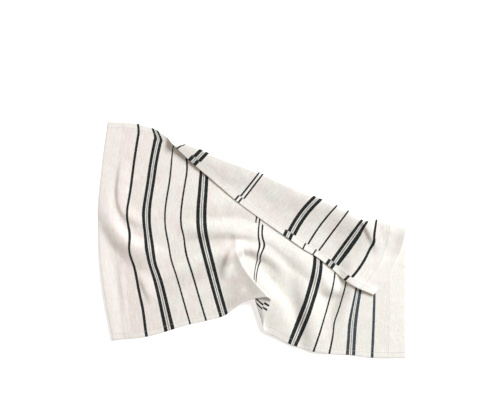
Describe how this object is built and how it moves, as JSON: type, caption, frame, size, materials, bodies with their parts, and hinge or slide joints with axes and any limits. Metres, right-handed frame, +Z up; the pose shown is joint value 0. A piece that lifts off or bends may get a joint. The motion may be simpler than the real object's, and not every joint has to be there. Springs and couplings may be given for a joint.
{
  "type": "tea towel",
  "caption": "Cotton tea towel with dark cross stripes, lying flat with its far side folded over in a long flap and a pleat in its near edge.",
  "frame": {"origin": "on the resting plane, under the middle of the footprint of the folded towel", "axes": "+X along the towel's length, from its open left end to the end under the flap, +Y towards the back fold, +Z up"},
  "size_m": [0.6976, 0.535, 0.0231],
  "materials": {
    "cotton_cloth": "matte woven cotton"
  },
  "bodies": {
    "root": {"cloth": "cotton_cloth"}
  },
  "joints": []
}
